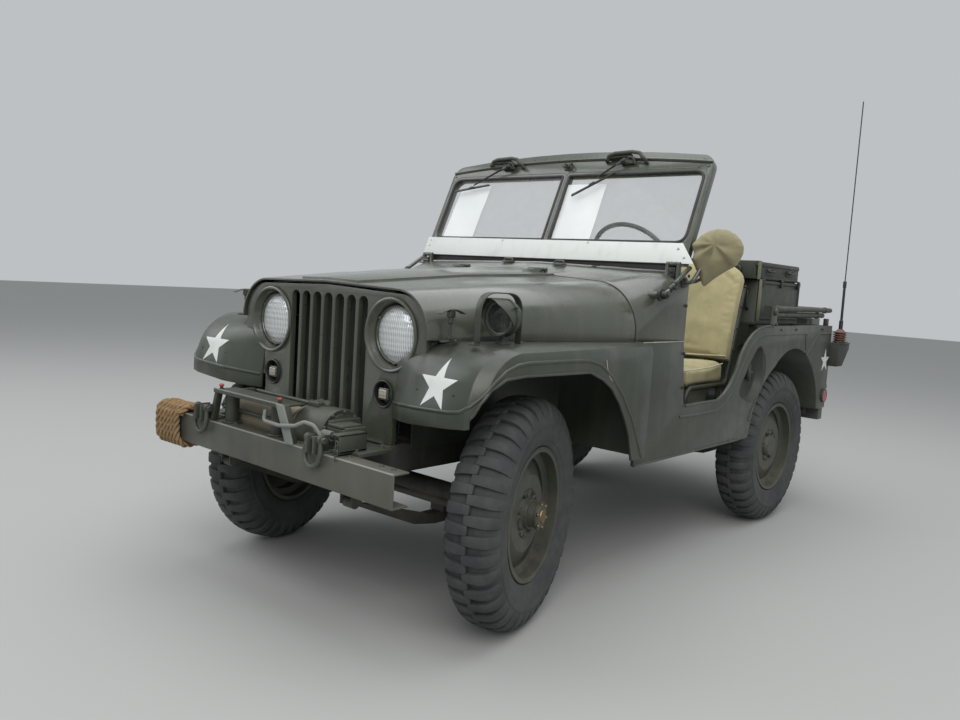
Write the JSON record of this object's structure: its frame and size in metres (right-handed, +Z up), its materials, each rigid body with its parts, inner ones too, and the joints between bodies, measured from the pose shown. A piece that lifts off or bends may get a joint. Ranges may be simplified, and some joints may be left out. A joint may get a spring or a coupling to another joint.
{
  "type": "army 4x4 car",
  "caption": "Open light military 4x4 with folding windshield, front winch, radio set and canvas seats.",
  "frame": {"origin": "on the ground below the middle of the whole car's box", "axes": "+X to the car's left, +Y to its rear, +Z up; the front bumper faces -Y"},
  "size_m": [1.7263, 3.57, 2.26],
  "materials": {
    "olive_paint": "semi-gloss, sun-faded olive drab",
    "tyre_rubber": "matte black rubber",
    "glass": "clear",
    "canvas": "khaki cotton duck",
    "manila_rope": "brown manila fibre",
    "red_lens": "clear red lens",
    "dark_steel": "dark chassis paint, dusty",
    "black_plastic": "dark rim",
    "gear_paint": "flat olive, worn at edges"
  },
  "bodies": {
    "root": {"antenna_mount": "gear_paint", "antenna_whip": "dark_steel", "chassis_frame": "dark_steel", "cowl": "olive_paint", "engine": "dark_steel", "exhaust": "dark_steel", "fenders": "olive_paint", "front_axle": "dark_steel", "front_bumper": "gear_paint", "front_lamps": "glass", "fuel_can": "gear_paint", "grille": "olive_paint", "leaf_springs": "dark_steel", "mirror_cover": "canvas", "propshafts": "dark_steel", "radiator": "dark_steel", "radio_set": "gear_paint", "rear_axle": "dark_steel", "rear_bumpers": "gear_paint", "rear_lamps": "red_lens", "rear_seat": "canvas", "rope_coil": "manila_rope", "seat_backs": "canvas", "seat_cushions": "canvas", "seat_frames": "gear_paint", "shock_absorbers": "dark_steel", "spare_rim": "gear_paint", "spare_tyre": "tyre_rubber", "steering_column": "dark_steel", "transfer_case": "dark_steel", "tub": "olive_paint", "winch_frame": "gear_paint", "winch_gearbox": "gear_paint"},
    "wheel_front_left": {"tyre_front_left": "tyre_rubber", "rim_front_left": "gear_paint"},
    "wheel_front_right": {"tyre_front_right": "tyre_rubber", "rim_front_right": "gear_paint"},
    "wheel_rear_left": {"tyre_rear_left": "tyre_rubber", "rim_rear_left": "gear_paint"},
    "wheel_rear_right": {"tyre_rear_right": "tyre_rubber", "rim_rear_right": "gear_paint"},
    "knuckle_left": {"knuckle_left": "dark_steel"},
    "knuckle_right": {"knuckle_right": "dark_steel"},
    "tie_rod": {"tie_rod": "dark_steel"},
    "steering_wheel": {"steering_wheel": "black_plastic"},
    "hood": {"hood": "olive_paint"},
    "windshield": {"windshield_frame": "olive_paint", "windshield_glass": "glass"},
    "top_bows": {"top_bows": "gear_paint"},
    "winch_drum": {"winch_drum": "gear_paint"}
  },
  "joints": [
    {"name": "steer", "type": "hinge", "parent": "root", "child": "knuckle_left", "pos_m": [0.493, -1.1745, 0.386], "axis": [0, 0, 1], "range_deg": [-40.5, 9.5]},
    {"name": "steer_right", "type": "hinge", "parent": "root", "child": "knuckle_right", "pos_m": [-0.627, -1.1745, 0.386], "axis": [0, 0, 1], "range_deg": [-40.5, 9.5]},
    {"name": "tie_rod_eye", "type": "hinge", "parent": "knuckle_left", "child": "tie_rod", "pos_m": [0.53309, -1.31905, 0.401], "axis": [0, 0, 1], "range_deg": [-9.5, 40.5]},
    {"name": "steering_wheel_turn", "type": "hinge", "parent": "root", "child": "steering_wheel", "pos_m": [0.174, 0.099, 1.269], "axis": [0, 0.8192, 0.5736], "range_deg": [-648, 152]},
    {"name": "spin_front_left", "type": "hinge", "parent": "knuckle_left", "child": "wheel_front_left", "pos_m": [0.55467, -1.1574, 0.386], "axis": [0.9636, 0.2672, 0], "continuous": true},
    {"name": "spin_front_right", "type": "hinge", "parent": "knuckle_right", "child": "wheel_front_right", "pos_m": [-0.68867, -1.1916, 0.386], "axis": [0.9636, 0.2672, 0], "continuous": true},
    {"name": "spin_rear_left", "type": "hinge", "parent": "root", "child": "wheel_rear_left", "pos_m": [0.557, 0.8825, 0.386], "axis": [1, 0, 0], "continuous": true},
    {"name": "spin_rear_right", "type": "hinge", "parent": "root", "child": "wheel_rear_right", "pos_m": [-0.691, 0.8825, 0.386], "axis": [1, 0, 0], "continuous": true},
    {"name": "hood_open", "type": "hinge", "parent": "root", "child": "hood", "pos_m": [-0.067, -0.582, 1.2], "axis": [-1, 0, 0], "range_deg": [0, 65]},
    {"name": "windshield_fold", "type": "hinge", "parent": "root", "child": "windshield", "pos_m": [-0.067, -0.322, 1.252], "axis": [-1, 0, 0], "range_deg": [-110, 0]},
    {"name": "bows_raise", "type": "hinge", "parent": "root", "child": "top_bows", "pos_m": [-0.067, 0.654, 1.076], "axis": [1, 0, 0], "range_deg": [0, 80]},
    {"name": "winch_drum_turn", "type": "hinge", "parent": "root", "child": "winch_drum", "pos_m": [-0.067, -1.616, 0.625], "axis": [1, 0, 0], "continuous": true}
  ],
  "couplings": [
    {"joint": "steer_right", "follows": "steer", "ratio": 1},
    {"joint": "tie_rod_eye", "follows": "steer", "ratio": -1},
    {"joint": "steering_wheel_turn", "follows": "steer", "ratio": 16}
  ]
}
